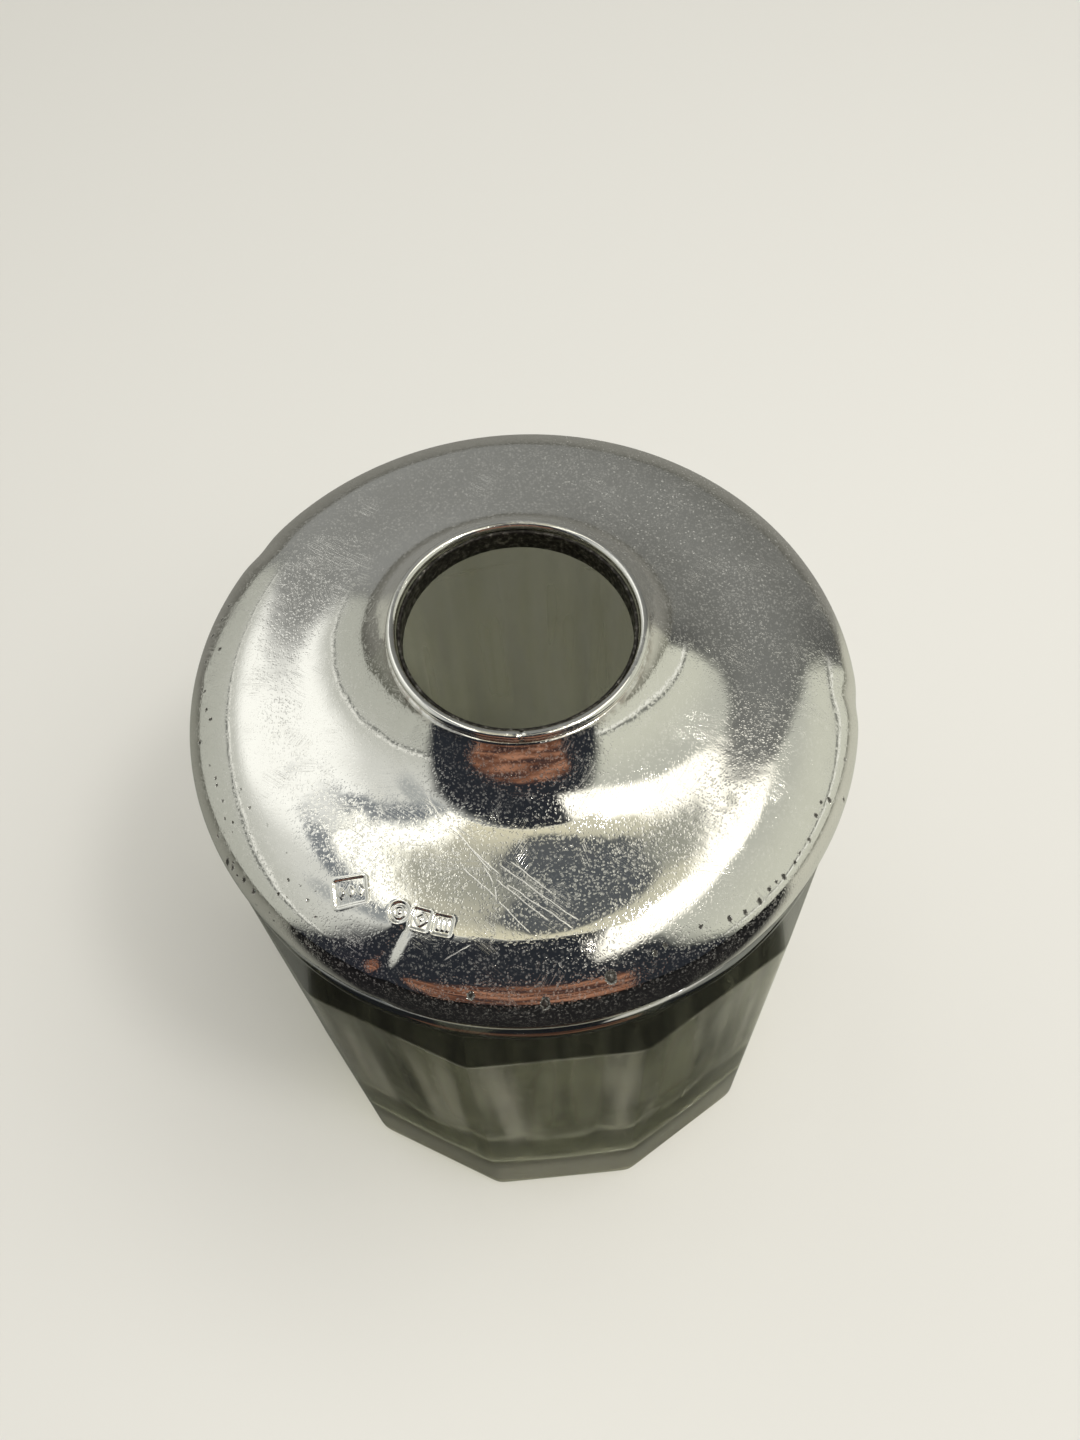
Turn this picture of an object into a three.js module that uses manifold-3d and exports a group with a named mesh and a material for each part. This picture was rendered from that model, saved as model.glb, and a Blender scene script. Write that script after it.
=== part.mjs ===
// A silver-topped dressing-table jar: a twelve-panel cut-glass jar with a push-on
// silver cover that has a raised, wire-rimmed opening in the middle.
//
// Millimetres, +Z up. The origin is the centre of the jar's underside. The front of
// the jar faces -Y.
//
// Pieces, from the bottom up:
//   glass_jar          one solid piece of glass, panels and shoulder cut, round neck
//   skirt_foot_wire    wire round the bottom of the cover's skirt
//   lid_skirt_band     plain band inside the cover that slides over the glass neck
//   lid_dome           pressed cover: neck, flat ring, rounded border
//   opening_sleeve     short lining tube inside the opening
//   opening_rim_wire   wire round the edge of the opening, with its solder joint
import * as THREE from 'three';
import { mergeVertices } from 'three/addons/utils/BufferGeometryUtils.js';
import Module from 'manifold-3d';

const ROUND_SEGMENTS = 72;
const WIRE_SECTION_SEGMENTS = 10;
const MERGE_DISTANCE = 1e-4;

// ---- glass dimensions ----------------------------------------------------------
const PANELS = 12;
const PANEL_TURN = THREE.MathUtils.degToRad(16); // first panel edge, from -Y towards +X
const BODY_FOOT_R = 44.3; // over the panel edges, at the foot
const BODY_TOP_R = 43.3; // over the panel edges, at the shoulder
const FOOT_CHAMFER = 2.4;
const SHOULDER_Z = 79.7; // the edge where panels meet shoulder facets
const SHOULDER_TOP_Z = 89.3;
const SHOULDER_TOP_R = 41.2; // over the edges of the shoulder facets
const RING_R = 41.05; // round ring the cover sits on
const RING_TOP_Z = 90.7;
const NECK_R = 38.6;
const NECK_TOP_Z = 100.8;
const NECK_ROOT_R = 37; // bottom of the neck solid, buried in the body
const NECK_ROOT_Z = SHOULDER_Z - 11;
const BORE_R = 33.8; // inside of the neck
const LIP_FLARE = 1.5; // widening of the bore at the lip
const CAVITY_R = 34.3; // inside of the body
const FLOOR_Z = 8.0; // thickness of the solid base
const CUT_OVERRUN = 6; // how far the cavity cutter stands above the neck

// ---- silver dimensions -----------------------------------------------------------
const SHEET = 0.8; // thickness of the pressed cover
const WIDEST_Z = 97.0; // height of the cover's widest circle
// Outer surface from the opening outwards: [radius, height above the widest circle].
const DOME = [
  [15.3, 15.8], [16.1, 14.7], [17.2, 13.45], [18.6, 12.13],
  [20.4, 10.8], [22.6, 9.63], [25.2, 8.83], [28.5, 8.5],
  [31.5, 8.36], [33.2, 8.2], [34.5, 7.93], [35.9, 7.4],
  [37.3, 6.67], [38.7, 5.8], [39.9, 4.93], [40.8, 4.05],
  [41.5, 2.95], [41.88, 1.6], [42.0, 0.0], [41.85, -1.9],
  [41.5, -3.5], [41.0, -5.0],
];
const DOME_FOOT_Z = WIDEST_Z + DOME.at(-1)[1];

const RIM_WIRE_R = 0.6;
const RIM_CENTRE_R = 14.75;
const RIM_CENTRE_Z = WIDEST_Z + 16.55;
const SOLDER_R = 0.62; // before stretching
const SOLDER_STRETCH = [1.5, 0.85, 0.9]; // along x, y, z
const SOLDER_CENTRE = [-0.9, -RIM_CENTRE_R, RIM_CENTRE_Z + 0.1];

const SLEEVE_OUT_R = 14.1;
const SLEEVE_IN_R = 13.6;
const SLEEVE_DEPTH = 2.9;
const SLEEVE_TOP_Z = RIM_CENTRE_Z - 0.2;
const SLEEVE_BEVEL_WIDTH = 0.15;
const SLEEVE_BEVEL_HEIGHT = 0.1;

const BAND_OUT_R = 39.7;
const BAND_IN_R = 39.1;
const BAND_TOP_Z = WIDEST_Z + 3.5;
const BAND_CHAMFER = 0.2;
const FOOT_WIRE_R = 0.5;
const FOOT_WIRE_GAP = 0.05; // clear of both the band and the dome
const FOOT_WIRE_CENTRE_R = BAND_OUT_R + FOOT_WIRE_GAP + FOOT_WIRE_R;
const FOOT_WIRE_CENTRE_Z = DOME_FOOT_Z - FOOT_WIRE_GAP - FOOT_WIRE_R;
const BAND_FOOT_Z = FOOT_WIRE_CENTRE_Z - FOOT_WIRE_R; // level with the wire's underside

// ---- materials -------------------------------------------------------------------
const glass = new THREE.MeshStandardMaterial({
  color: 0xd9dec0,
  roughness: 0.03,
  metalness: 0,
  transparent: true,
  opacity: 0.4,
});
const silver = new THREE.MeshStandardMaterial({
  color: 0xd8d6cf,
  roughness: 0.16,
  metalness: 1,
});
const wornSilver = new THREE.MeshStandardMaterial({
  color: 0xc9c6bd,
  roughness: 0.24,
  metalness: 1,
});
const tarnishedSilver = new THREE.MeshStandardMaterial({
  color: 0x2a2622,
  roughness: 0.55,
  metalness: 0.8,
});

// ---- solids ----------------------------------------------------------------------
const wasm = await Module();
wasm.setup();

// Coincident corners merged, collapsed triangles dropped, faces turned outwards.
function closed(geometry) {
  geometry.deleteAttribute('normal');
  geometry.deleteAttribute('uv');
  const merged = mergeVertices(geometry, MERGE_DISTANCE);
  const { position } = merged.attributes;
  const index = merged.index.array;
  const kept = [];
  const corners = [new THREE.Vector3(), new THREE.Vector3(), new THREE.Vector3()];
  let signedVolume = 0; // six times the volume, negative if the faces point inwards
  for (let i = 0; i < index.length; i += 3) {
    const triangle = [index[i], index[i + 1], index[i + 2]];
    if (new Set(triangle).size < 3) continue;
    kept.push(...triangle);
    corners.forEach((corner, k) => corner.fromBufferAttribute(position, triangle[k]));
    signedVolume += corners[0].dot(corners[1].cross(corners[2]));
  }
  if (signedVolume < 0) {
    for (let i = 0; i < kept.length; i += 3) {
      [kept[i + 1], kept[i + 2]] = [kept[i + 2], kept[i + 1]];
    }
  }
  merged.setIndex(kept);
  return merged;
}

// A profile of [radius, height] pairs turned about Z, starting from -Y.
function turned(profile, segments = ROUND_SEGMENTS, startAngle = 0) {
  const points = profile.map(([r, z]) => new THREE.Vector2(r, z));
  const geometry = new THREE.LatheGeometry(points, segments, startAngle, Math.PI * 2);
  geometry.rotateX(Math.PI / 2); // the lathe turns about Y
  return closed(geometry);
}

// A turned solid whose profile closes on itself away from the axis.
function ring(profile) {
  return turned([...profile, profile[0]]);
}

function wire(centreR, centreZ, wireR) {
  const geometry = new THREE.TorusGeometry(
    centreR,
    wireR,
    WIRE_SECTION_SEGMENTS,
    ROUND_SEGMENTS,
  );
  geometry.translate(0, 0, centreZ);
  return closed(geometry);
}

function toManifold(geometry) {
  return new wasm.Manifold(
    new wasm.Mesh({
      numProp: 3,
      vertProperties: new Float32Array(geometry.attributes.position.array),
      triVerts: new Uint32Array(geometry.index.array),
    }),
  );
}

function toGeometry(manifold) {
  const { vertProperties, triVerts } = manifold.getMesh();
  const geometry = new THREE.BufferGeometry();
  geometry.setAttribute('position', new THREE.BufferAttribute(vertProperties, 3));
  geometry.setIndex(new THREE.BufferAttribute(triVerts, 1));
  return geometry;
}

// The line moved to the right of its direction: inwards, for a line down the dome.
function offset(line, distance) {
  return line.map(([r, z], i) => {
    const before = line[Math.max(i - 1, 0)];
    const after = line[Math.min(i + 1, line.length - 1)];
    const dr = after[0] - before[0];
    const dz = after[1] - before[1];
    const length = Math.hypot(dr, dz);
    return [r + (dz / length) * distance, z - (dr / length) * distance];
  });
}

// ---- glass jar -------------------------------------------------------------------
function panelledBody() {
  const profile = [
    [0, 0],
    [BODY_FOOT_R - FOOT_CHAMFER, 0],
    [BODY_FOOT_R, FOOT_CHAMFER],
    [BODY_TOP_R, SHOULDER_Z],
    [SHOULDER_TOP_R, SHOULDER_TOP_Z],
    [0, SHOULDER_TOP_Z],
  ];
  return turned(profile, PANELS, PANEL_TURN);
}

// The root overlaps the body; above it come the ring and the neck with its lip.
function roundNeck() {
  return turned([
    [0, NECK_ROOT_Z],
    [NECK_ROOT_R, NECK_ROOT_Z],
    [39.6, SHOULDER_TOP_Z - 1.2],
    [RING_R - 0.35, SHOULDER_TOP_Z - 0.6],
    [RING_R, SHOULDER_TOP_Z + 0.3],
    [RING_R - 0.15, SHOULDER_TOP_Z + 1.0],
    [RING_R - 0.8, RING_TOP_Z],
    [NECK_R + 0.35, RING_TOP_Z],
    [NECK_R, RING_TOP_Z + 0.4],
    [NECK_R, NECK_TOP_Z - 1.5],
    [NECK_R - 0.5, NECK_TOP_Z - 0.5],
    [NECK_R - 1.5, NECK_TOP_Z],
    [0, NECK_TOP_Z],
  ]);
}

// Rounded floor corner, straight wall, narrower bore flaring at the lip.
function cavity() {
  return turned([
    [0, FLOOR_Z],
    [29.5, FLOOR_Z + 0.2],
    [32.2, FLOOR_Z + 1.0],
    [33.7, FLOOR_Z + 2.7],
    [CAVITY_R, FLOOR_Z + 6],
    [CAVITY_R, SHOULDER_Z],
    [BORE_R, RING_TOP_Z],
    [BORE_R, NECK_TOP_Z - 1.6],
    [BORE_R + 0.5, NECK_TOP_Z - 0.6],
    [BORE_R + LIP_FLARE, NECK_TOP_Z],
    [BORE_R + LIP_FLARE, NECK_TOP_Z + CUT_OVERRUN],
    [0, NECK_TOP_Z + CUT_OVERRUN],
  ]);
}

function glassJar() {
  const [body, neck, hollow] = [panelledBody(), roundNeck(), cavity()].map(toManifold);
  return toGeometry(body.add(neck).subtract(hollow));
}

// ---- cover -----------------------------------------------------------------------
function lidDome() {
  const outer = DOME.map(([r, z]) => [r, z + WIDEST_Z]);
  const inner = offset(outer, SHEET);
  // The sheet is trimmed level at the opening and at the bottom of the border.
  inner[0][1] = outer[0][1];
  inner.at(-1)[1] = outer.at(-1)[1];
  return ring([...outer, ...inner.reverse()]);
}

function skirtBand() {
  return ring([
    [BAND_OUT_R, BAND_FOOT_Z],
    [BAND_OUT_R, BAND_TOP_Z],
    [BAND_IN_R, BAND_TOP_Z],
    [BAND_IN_R, BAND_FOOT_Z + BAND_CHAMFER],
    [BAND_IN_R + BAND_CHAMFER, BAND_FOOT_Z],
  ]);
}

function openingSleeve() {
  const footZ = SLEEVE_TOP_Z - SLEEVE_DEPTH;
  const bevelZ = SLEEVE_TOP_Z - SLEEVE_BEVEL_HEIGHT;
  return ring([
    [SLEEVE_OUT_R, footZ],
    [SLEEVE_OUT_R, bevelZ],
    [SLEEVE_OUT_R - SLEEVE_BEVEL_WIDTH, SLEEVE_TOP_Z],
    [SLEEVE_IN_R + SLEEVE_BEVEL_WIDTH, SLEEVE_TOP_Z],
    [SLEEVE_IN_R, bevelZ],
    [SLEEVE_IN_R, footZ],
  ]);
}

// The wire's ends meet at the front, under a small bead of solder.
function rimWire() {
  const solder = new THREE.SphereGeometry(SOLDER_R, 12, 8);
  solder.scale(...SOLDER_STRETCH);
  solder.translate(...SOLDER_CENTRE);
  const rim = wire(RIM_CENTRE_R, RIM_CENTRE_Z, RIM_WIRE_R);
  return toGeometry(toManifold(rim).add(toManifold(closed(solder))));
}

function footWire() {
  return wire(FOOT_WIRE_CENTRE_R, FOOT_WIRE_CENTRE_Z, FOOT_WIRE_R);
}

// ---- assembly --------------------------------------------------------------------
function piece(name, geometry, material) {
  const mesh = new THREE.Mesh(geometry, material);
  mesh.name = name;
  return mesh;
}

const cover = new THREE.Group();
cover.add(
  piece('lid_dome', lidDome(), silver),
  piece('opening_rim_wire', rimWire(), silver),
  piece('opening_sleeve', openingSleeve(), tarnishedSilver),
  piece('lid_skirt_band', skirtBand(), wornSilver),
  piece('skirt_foot_wire', footWire(), wornSilver),
);

const jar = new THREE.Group();
jar.add(piece('glass_jar', glassJar(), glass), cover);

export default jar;
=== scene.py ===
"""Looks of a silver-topped panelled glass jar.

The jar stands on z = 0 with its axis on +Z. The front is -Y and the left is -X.
Meshes are worked out in millimetres and stored in metres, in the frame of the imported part.
"""
import math

import bpy
import numpy as np
from mathutils import Matrix, Vector


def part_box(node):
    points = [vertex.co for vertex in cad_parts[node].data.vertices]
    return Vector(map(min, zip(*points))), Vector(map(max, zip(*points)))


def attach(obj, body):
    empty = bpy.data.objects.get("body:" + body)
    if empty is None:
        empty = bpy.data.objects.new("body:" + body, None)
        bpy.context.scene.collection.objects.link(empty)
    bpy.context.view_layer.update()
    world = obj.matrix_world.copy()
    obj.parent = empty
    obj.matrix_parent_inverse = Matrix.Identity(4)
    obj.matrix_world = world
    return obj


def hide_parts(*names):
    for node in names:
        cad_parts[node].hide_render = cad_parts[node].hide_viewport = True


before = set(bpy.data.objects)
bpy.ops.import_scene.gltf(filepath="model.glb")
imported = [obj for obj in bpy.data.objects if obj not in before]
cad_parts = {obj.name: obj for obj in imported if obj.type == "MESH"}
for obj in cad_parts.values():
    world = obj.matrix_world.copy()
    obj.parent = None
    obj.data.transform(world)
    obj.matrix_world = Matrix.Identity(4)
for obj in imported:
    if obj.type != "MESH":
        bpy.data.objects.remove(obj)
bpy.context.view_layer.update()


MM = 0.001


def cad_box(name):
    """The low and high corners of a CAD piece, in mm."""
    return [corner * 1000 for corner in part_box(name)]


# ---------------------------------------------------------------- sizes (mm)
WIDEST_Z = cad_box("lid_dome")[0].z + 5.0  # height of the widest ring of the cover
LIFT = WIDEST_Z - 88.8  # heights on the upper jar are counted from a cover at 88.8

# Jar
PANELS = 12
PANEL_TURN = math.radians(16.0 - 90.0)  # angle of one panel edge, counted from +X
CORNER_BLUNTING = 0.10
FOOT_RADIUS = 44.3
FOOT_BEVEL = 2.4
RIB_RADIUS, RIB_Z = 43.3, 71.5
SHOULDER_RADIUS = 41.2
NECK_RADIUS = 38.6
MOUTH_RADIUS = 33.8
BORE_RADIUS = 34.3
JAR_TOP = 92.6
FLOOR_Z = 8.0
AXIS_GAP = 0.6  # radius of the small caps on the axis
JAR_LINE = [  # radius over the corners, height, share of panelling, corner rounding
    (AXIS_GAP, 0.0, 1, 0), (20.0, 0.0, 1, 0), (FOOT_RADIUS - FOOT_BEVEL, 0.0, 1, 0.35),
    (FOOT_RADIUS, FOOT_BEVEL, 1, 0.4), (RIB_RADIUS, RIB_Z, 1, 0.45),
    (SHOULDER_RADIUS, 80.75, 1, 0.25), (41.35, 80.95, 0, 0.2), (41.7, 81.3, 0, 0.3),
    (41.66, 81.75, 0, 0.3), (41.38, 82.12, 0, 0.3), (40.9, 82.4, 0, 0.3), (40.3, 82.52, 0, 0.3),
    (38.9, 82.5, 0, 0.3), (NECK_RADIUS, 82.9, 0, 0.3), (NECK_RADIUS, 91.1, 0, 0.6),
    (37.7, JAR_TOP, 0, 0.5), (34.9, JAR_TOP, 0, 0.5), (MOUTH_RADIUS, 91.5, 0, 0.6),
    (MOUTH_RADIUS, 82.5, 0, 4), (BORE_RADIUS, RIB_Z, 0, 4), (BORE_RADIUS, 14.0, 0, 3),
    (33.5, 10.4, 0, 1.5), (31.5, 8.6, 0, 1.5), (27.0, 8.1, 0, 2), (12.0, FLOOR_Z, 0, 0),
    (AXIS_GAP, FLOOR_Z, 0, 0),
]
PANEL_STOPS = [  # degrees from a panel edge, up to just before the panel's middle
    0.0, 0.15, 0.3, 0.45, 0.6, 0.8, 1.05, 1.4, 2.0, 3.0, 4.6, 6.6, 8.8, 11.0, 13.0]

# Cover
SHEET = 0.8
DOME = [  # radius, height over the widest ring; from the opening to the lower edge
    (15.3, 15.8), (16.1, 14.7), (17.2, 13.45), (18.6, 12.13), (20.4, 10.8), (22.6, 9.63),
    (25.2, 8.83), (28.5, 8.5), (31.5, 8.36), (33.2, 8.2), (34.5, 7.93), (35.9, 7.4),
    (37.3, 6.67), (38.7, 5.8), (39.9, 4.93), (40.8, 4.05), (41.5, 2.95), (41.88, 1.6),
    (42.0, 0.0), (41.85, -1.9), (41.5, -3.5), (41.0, -5.0),
]
MARKS = [  # x, y, turn in degrees, half width, half height, motif
    (-20.7, -27.8, 3.0, 1.85, 1.45, "lozenges"),
    (-15.3, -30.7, -25.0, 1.12, 1.10, "ring"),
    (-12.95, -31.75, -21.0, 1.08, 1.10, "square"),
    (-10.6, -32.6, -17.0, 1.12, 1.05, "bars"),
]
DENTS = [  # x, y, radius, depth
    (-32.9, 23.2, 2.2, 0.30), (40.8, -5.9, 1.9, 0.26), (12.5, -39.2, 2.0, 0.07),
    (-6.0, -36.0, 1.3, 0.05), (3.6, -28.5, 1.6, 0.03), (31.0, 14.0, 1.8, 0.05),
    (-27.0, -13.0, 1.5, 0.04), (22.0, -21.0, 1.2, 0.04), (-38.5, 3.0, 1.4, 0.06),
]
PITS = [  # x, y, radius of the larger corrosion pits
    (34.6, -19.9, 0.42), (33.5, -20.4, 0.3), (32.6, -22.0, 0.36), (31.4, -24.7, 0.34),
    (30.0, -26.3, 0.22), (29.3, -27.3, 0.3), (27.8, -28.9, 0.42), (26.8, -29.5, 0.25),
    (25.9, -30.3, 0.34), (24.6, -31.6, 0.42), (22.8, -32.8, 0.36), (20.9, -33.5, 0.4),
    (36.9, -19.1, 0.3), (-39.5, -5.7, 0.42), (-39.2, 1.2, 0.34), (-38.7, -1.7, 0.3),
    (-38.0, -3.3, 0.26), (-37.4, 6.8, 0.38), (-38.9, 9.9, 0.4), (-36.9, 14.0, 0.34),
    (-39.5, 5.9, 0.28), (-37.7, 12.0, 0.3), (-35.8, -20.9, 0.5), (-35.1, -21.8, 0.34),
    (-33.6, -23.6, 0.4), (-32.4, -25.2, 0.36), (-8.1, -39.6, 0.55), (13.4, -36.2, 0.4),
    (12.2, -36.9, 0.4), (17.5, -34.4, 0.3),
]
RINGS = [(-0.1, -40.9, 0.62), (7.2, -39.0, 0.75)]  # x, y, radius of pits with a raised floor
CUTS = [  # x, y of both ends of a scratch in plan
    (-8.6, -22.2, -4.9, -27.2), (-5.9, -26.2, -4.7, -28.6), (-4.7, -28.6, -4.6, -30.7),
    (-8.2, -26.2, -4.7, -30.1), (-4.5, -30.4, -1.1, -34.5), (-4.7, -27.8, 1.1, -33.4),
    (-4.1, -26.3, 4.3, -33.6), (-2.9, -25.9, 1.8, -30.3), (-12.2, -16.7, -10.3, -20.2),
    (11.5, -18.0, 10.9, -20.8), (-10.9, -36.1, -7.4, -34.8), (-11.9, -18.5, -11.0, -19.8),
    (-3.5, -28.5, 3.7, -34.4), (-7.1, -24.2, -4.0, -27.6),
]

# Fine scratches: degrees, repeats per mm across and along, noise where they start and
# where they are full, seed
SILVER_STROKES = [
    (38, 5.5, 0.05, 0.54, 0.66, 1), (-52, 4.5, 0.06, 0.60, 0.70, 2),
    (8, 5.0, 0.05, 0.60, 0.70, 3), (74, 6.0, 0.06, 0.62, 0.72, 4),
]
GLASS_STROKES = [(30, 3.0, 0.05, 0.56, 0.66, 7), (-60, 3.0, 0.05, 0.58, 0.66, 8)]


# ---------------------------------------------------------------- mesh helpers
def spline_of(points):
    """Length and a natural cubic spline through the points, over the length along them."""
    points = np.array(points, float)
    knots = np.r_[0.0, np.cumsum(np.hypot(*np.diff(points, axis=0).T))]
    count, gaps = len(knots), np.diff(knots)
    system, right_side = np.eye(count), np.zeros((count, 2))
    for i in range(1, count - 1):
        before, after = gaps[i - 1], gaps[i]
        system[i, i - 1:i + 2] = before, 2 * (before + after), after
        right_side[i] = 6 * ((points[i + 1] - points[i]) / after
                             - (points[i] - points[i - 1]) / before)
    bend = np.linalg.solve(system, right_side)

    def at(along):
        i = np.clip(np.searchsorted(knots, along, side="right") - 1, 0, count - 2)
        done = (along - knots[i])[:, None]
        left = (knots[i + 1] - along)[:, None]
        gap = gaps[i][:, None]
        return (
            bend[i] * left ** 3 / (6 * gap) + bend[i + 1] * done ** 3 / (6 * gap)
            + (points[i] / gap - bend[i] * gap / 6) * left
            + (points[i + 1] / gap - bend[i + 1] * gap / 6) * done
        )

    return knots[-1], at


def rounded(points, radii, steps):
    """A line of points with its corners rounded in radius and height."""
    out = [points[0]]
    for i in range(1, len(points) - 1):
        corner = points[i]
        if radii[i] <= 0:
            out.append(corner)
            continue
        to_last, to_next = points[i - 1] - corner, points[i + 1] - corner
        last_length, next_length = np.linalg.norm(to_last[:2]), np.linalg.norm(to_next[:2])
        cut = min(radii[i], last_length * 0.45, next_length * 0.45)
        start = corner + to_last / last_length * cut
        end = corner + to_next / next_length * cut
        for k in range(steps + 1):
            f = k / steps
            out.append((1 - f) ** 2 * start + 2 * f * (1 - f) * corner + f * f * end)
    out.append(points[-1])
    return np.array(out)


def normals_of(line):
    """Unit normals of an [n, 2] line of radius and height, upwards at its middle row."""
    slope = np.gradient(line, axis=0)
    normals = np.stack([-slope[:, 1], slope[:, 0]], 1)
    normals /= np.maximum(np.linalg.norm(normals, axis=1)[:, None], 1e-9)
    return normals * np.sign(normals[len(line) // 2, 1])


def grid(name, points, capped=False):
    """An object from [rows, columns, 3] points in mm, closed round the columns.

    The rows close into a loop, or with capped each end row closes to its centre.
    """
    rows, cols = points.shape[:2]
    here = np.arange(rows * cols).reshape(rows, cols)
    beside = np.roll(here, -1, axis=1)
    verts = points.reshape(-1, 3) * MM
    above = np.roll(here, -1, axis=0), np.roll(beside, -1, axis=0)
    faces = np.stack([here, *above, beside], -1)
    if capped:
        faces = faces[:-1]
    faces = faces.reshape(-1, 4).tolist()
    if capped:
        low, high = len(verts), len(verts) + 1
        faces += [[low, int(here[0, j]), int(beside[0, j])] for j in range(cols)]
        faces += [[high, int(beside[-1, j]), int(here[-1, j])] for j in range(cols)]
        verts = np.vstack([verts, points[0].mean(0) * MM, points[-1].mean(0) * MM])
    mesh = bpy.data.meshes.new(name)
    mesh.from_pydata(verts.tolist(), [], faces)
    mesh.update()
    # a negative volume means that the faces point inwards
    mesh.calc_loop_triangles()
    corners = np.zeros(len(mesh.loop_triangles) * 3, np.int32)
    mesh.loop_triangles.foreach_get("vertices", corners)
    tri = verts[corners.reshape(-1, 3)]
    if np.einsum("ij,ij->i", tri[:, 0], np.cross(tri[:, 1], tri[:, 2])).sum() < 0:
        mesh.flip_normals()
    mesh.shade_smooth()
    obj = bpy.data.objects.new(name, mesh)
    bpy.context.scene.collection.objects.link(obj)
    return obj


def turned(line, theta, normals, push=0.0):
    """An [n, 2] line turned to points at the angles, pushed in mm along its normals."""
    radius = line[:, 0][:, None] + normals[:, 0][:, None] * push + 0 * theta[None, :]
    z = line[:, 1][:, None] + normals[:, 1][:, None] * push + 0 * theta[None, :]
    return np.stack([radius * np.cos(theta), radius * np.sin(theta), z], -1)


def waves(theta, along, seed, count, low, high, length):
    """Smooth seeded unevenness, about -1 to 1, of low to high waves round the angle.

    along is a place along the line, and length the shortest wave on it.
    """
    draw = np.random.default_rng(seed)
    total = 0.0
    for _ in range(count):
        k = draw.integers(low, high + 1)
        total = total + draw.uniform(0.4, 1.0) * np.sin(
            k * theta + draw.uniform(0, 6.28) + along * draw.uniform(-1, 1) * 2 * math.pi / length
        ) * np.cos(along * draw.uniform(0.3, 1) * 2 * math.pi / length + draw.uniform(0, 6.28))
    return total / math.sqrt(count)


def step(x, start, end):
    """Smooth step from 0 at start to 1 at end."""
    f = np.clip((x - start) / (end - start), 0, 1)
    return f * f * (3 - 2 * f)


def angles(cols):
    return np.radians(np.arange(cols) * 360.0 / cols)


# ---------------------------------------------------------------- node helpers
class Signal:
    """One output of a shader node. Arithmetic on signals makes Math nodes."""

    def __init__(self, tree, node, key=0):
        self.tree, self.node, self.socket = tree, node, node.outputs[key]

    def also(self, key):
        """Another output of the same node."""
        return Signal(self.tree, self.node, key)

    def __add__(self, other):
        return maths("ADD", self, other)

    def __radd__(self, other):
        return maths("ADD", other, self)

    def __sub__(self, other):
        return maths("SUBTRACT", self, other)

    def __rsub__(self, other):
        return maths("SUBTRACT", other, self)

    def __mul__(self, other):
        return maths("MULTIPLY", self, other)

    def __truediv__(self, other):
        return maths("DIVIDE", self, other)

    def __abs__(self):
        return maths("ABSOLUTE", self)


def feed(value, socket):
    """Link a signal to the input, or set a plain value; colours get an alpha of 1."""
    if isinstance(value, Signal):
        value.tree.links.new(value.socket, socket)
    elif hasattr(value, "__len__") and len(value) == 3 and len(socket.default_value) == 4:
        socket.default_value = (*value, 1.0)
    else:
        socket.default_value = value


def feed_all(node, inputs):
    for key, value in inputs.items():
        feed(value, node.inputs[key])


def make(tree, kind, inputs, out=0, **settings):
    node = tree.nodes.new("ShaderNode" + kind)
    for key, value in settings.items():
        setattr(node, key, value)
    feed_all(node, inputs)
    return Signal(tree, node, out)


def maths(operation, *args):
    tree = next(arg.tree for arg in args if isinstance(arg, Signal))
    return make(tree, "Math", dict(enumerate(args)), operation=operation)


def most(first, *others):
    """The largest of the values."""
    for other in others:
        first = maths("MAXIMUM", first, other)
    return first


def length_of(x, y):
    return maths("SQRT", x * x + y * y)


def ramp(x, start, end, at_start=0.0, at_end=1.0):
    """Smooth step of x, from at_start at start to at_end at end; end may be the smaller."""
    if start > end:
        start, end, at_start, at_end = end, start, at_end, at_start
    inputs = {"Value": x, "From Min": start, "From Max": end, "To Min": at_start, "To Max": at_end}
    return make(x.tree, "MapRange", inputs, interpolation_type="SMOOTHSTEP")


def paint(colour, *layers):
    """The colour under layers of (share, colour), the last on top."""
    for share, tone in layers:
        colour = make(share.tree, "Mix", {0: share, 6: colour, 7: tone}, out=2, data_type="RGBA")
    return colour


def noise(point, scale, detail=3.0, rough=0.5, distort=0.0, out="Fac"):
    inputs = {"Vector": point, "Scale": scale, "Detail": detail, "Roughness": rough,
              "Distortion": distort}
    return make(point.tree, "TexNoise", inputs, out)


def cells(point, scale):
    """Distance to the middle of a Voronoi cell."""
    return make(point.tree, "TexVoronoi", {"Vector": point, "Scale": scale}, "Distance")


def vec(operation, first, second=None, scale=None, out=0):
    inputs = {0: first}
    if second is not None:
        inputs[1] = second
    if scale is not None:
        inputs["Scale"] = scale
    return make(first.tree, "VectorMath", inputs, out, operation=operation)


def warped(point, amount, centred=True, **pattern):
    """The point moved by colour noise times the amount."""
    offset = noise(point, out="Color", **pattern)
    if centred:
        offset = vec("SUBTRACT", offset, (0.5, 0.5, 0.5))
    return vec("ADD", point, vec("SCALE", offset, scale=amount))


def distance(point, place):
    return vec("DISTANCE", point, place, out=1)


def mm_coords(tree):
    """The point in millimetres, in the frame of the part."""
    return vec("SCALE", make(tree, "TexCoord", {}, "Object"), scale=1000.0)


def parts_of(point):
    x = make(point.tree, "SeparateXYZ", {0: point})
    return x, x.also(1), x.also(2)


def bump(height, distance_mm, normal=None):
    inputs = {"Strength": 1.0, "Distance": distance_mm * MM, "Height": height}
    if normal is not None:
        inputs["Normal"] = normal
    return make(height.tree, "Bump", inputs)


def material(name):
    made = bpy.data.materials.new(name)
    made.use_nodes = True
    tree = made.node_tree
    shader = next(node for node in tree.nodes if node.type == "BSDF_PRINCIPLED")
    return made, tree, shader


def mix_shaders(share, first, second):
    return make(share.tree, "MixShader", {0: share, 1: first, 2: second})


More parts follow.
